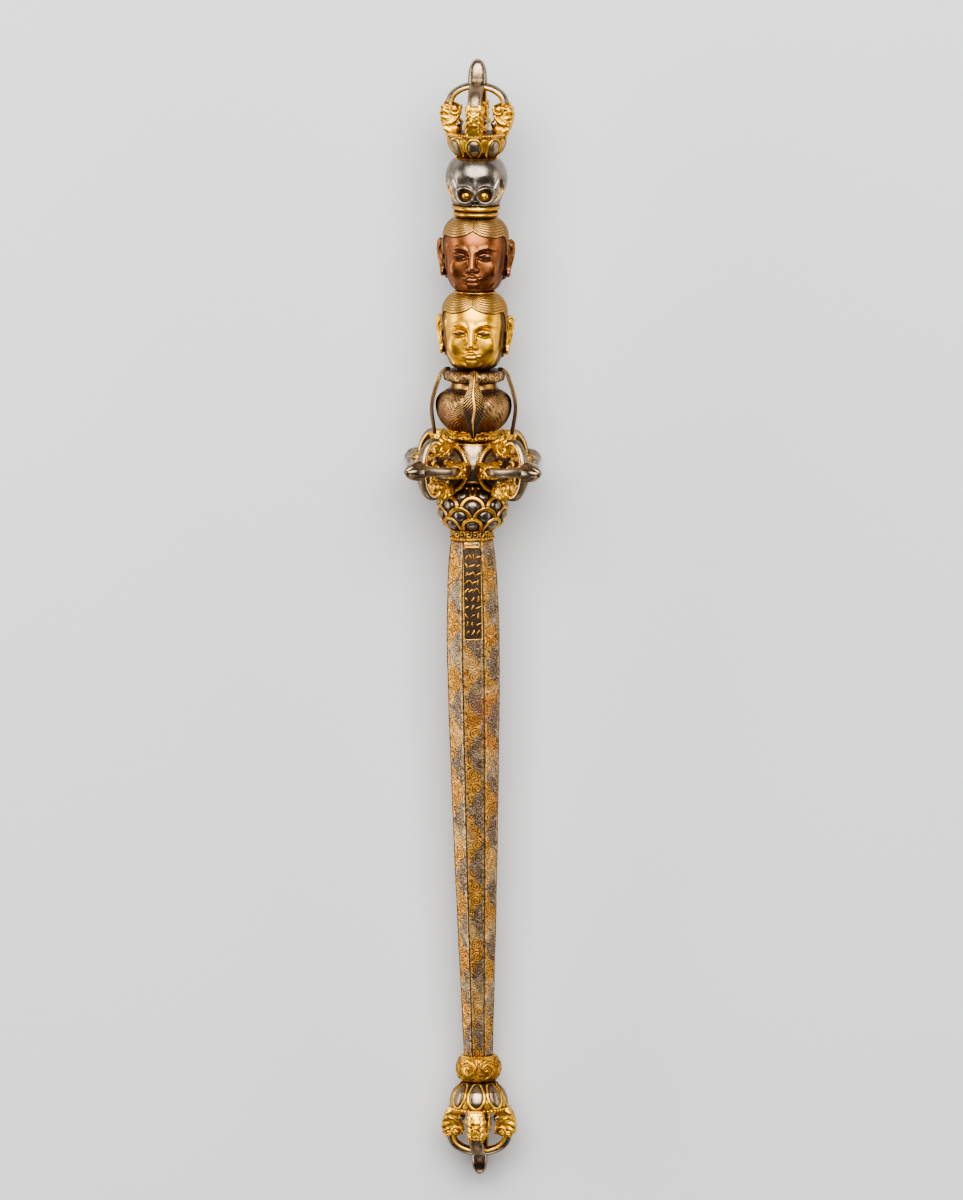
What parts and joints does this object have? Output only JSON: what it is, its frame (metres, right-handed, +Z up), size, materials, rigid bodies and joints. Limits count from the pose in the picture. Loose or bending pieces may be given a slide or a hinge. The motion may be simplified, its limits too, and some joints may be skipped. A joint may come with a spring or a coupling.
{
  "type": "ritual staff",
  "caption": "Short iron ritual staff with an eight-sided shaft, crossed thunderbolt, vase, two heads and a skull, and a pronged thunderbolt at each end, lying on its back.",
  "frame": {"origin": "middle of the bounding box at its bottom, on the ground the staff lies on", "axes": "+Y along the staff towards the skull end, +Z up from the ground with the staff's front upwards, +X to the right as the faces are seen upright"},
  "size_m": [0.054, 0.4418, 0.0534],
  "materials": {
    "iron_silvered": "dark iron overlaid with worn silver, gold beast heads, beads and petal rims",
    "gilding": "gilded metal, rubbed bright on the high places, brown in the hollows",
    "copper": "red-brown copper face with golden-brown combed hair",
    "damascened_iron": "iron inlaid all over with scrolls of gold and silver wire in slanting bands, worn and pitted",
    "brown_iron": "brown iron with remains of engraved gilding"
  },
  "bodies": {
    "root": {"shaft": "damascened_iron", "knop": "gilding", "lower_finial": "iron_silvered", "lotus_ball": "iron_silvered", "crossed_thunderbolt": "iron_silvered", "leaf_collar": "gilding", "vase": "brown_iron", "leaf_front": "brown_iron", "leaf_right": "brown_iron", "leaf_back": "brown_iron", "leaf_left": "brown_iron", "gilt_head": "gilding", "copper_head": "copper", "skull": "iron_silvered", "top_finial": "iron_silvered"}
  },
  "joints": []
}
